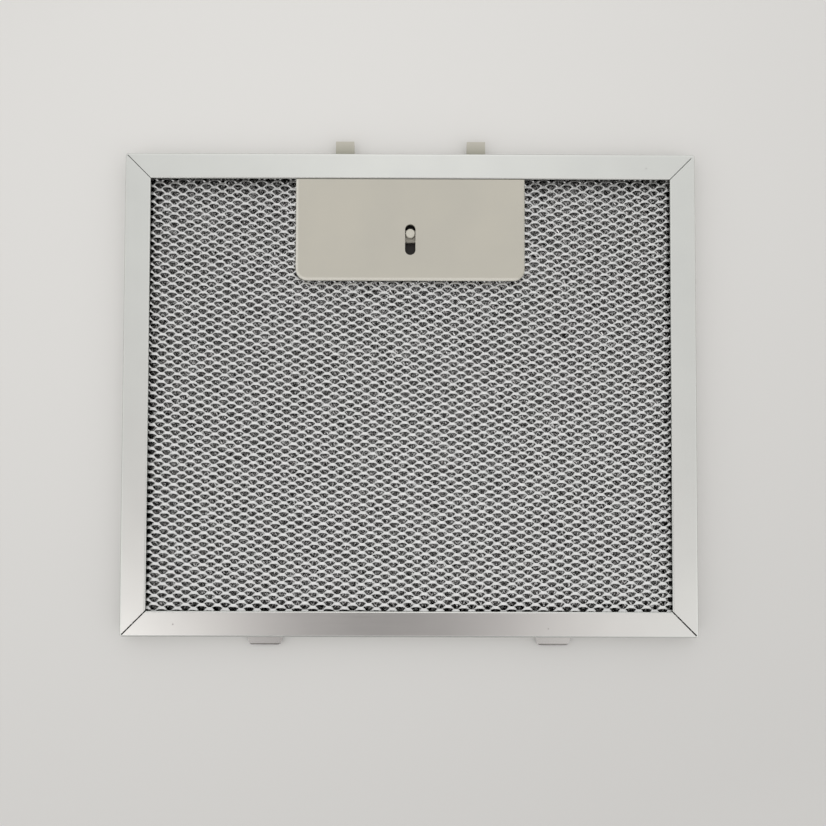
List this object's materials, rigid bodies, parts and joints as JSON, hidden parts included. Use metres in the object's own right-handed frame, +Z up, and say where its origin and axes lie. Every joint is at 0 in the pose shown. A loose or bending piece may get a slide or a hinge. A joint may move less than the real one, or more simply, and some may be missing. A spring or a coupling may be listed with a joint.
{
  "type": "cooker hood grease filter",
  "caption": "Flat rectangular cooker hood grease filter: folded aluminium frame round layered expanded mesh, hook lugs on one edge and a sprung sliding latch on the other.",
  "frame": {"origin": "centre of the bounding box, on the plane of the rear rim", "axes": "+X along the long side, +Y towards the latch edge, +Z up through the thickness to the room side"},
  "size_m": [0.3, 0.2656, 0.009],
  "materials": {
    "satin_aluminium": "satin",
    "mesh_aluminium": "bare",
    "beige_plastic": "matte",
    "dark_plastic": "matte",
    "spring_steel": "bare"
  },
  "bodies": {
    "filter": {"frame": "satin_aluminium", "front_mesh": "mesh_aluminium", "rear_mesh": "mesh_aluminium", "inner_mesh_1": "mesh_aluminium", "inner_mesh_2": "mesh_aluminium", "inner_mesh_3": "mesh_aluminium", "latch_cover": "beige_plastic", "latch_base": "dark_plastic", "latch_spring_left": "spring_steel", "latch_spring_right": "spring_steel"},
    "latch": {"latch_slider": "beige_plastic"}
  },
  "joints": [
    {"name": "latch_slide", "type": "slide", "parent": "filter", "child": "latch", "axis": [0, -1, 0], "range_m": [0, 0.0085], "stiffness_N_per_m": 400, "springref_m": -0.008, "deforming": ["latch_spring_left", "latch_spring_right"]}
  ]
}
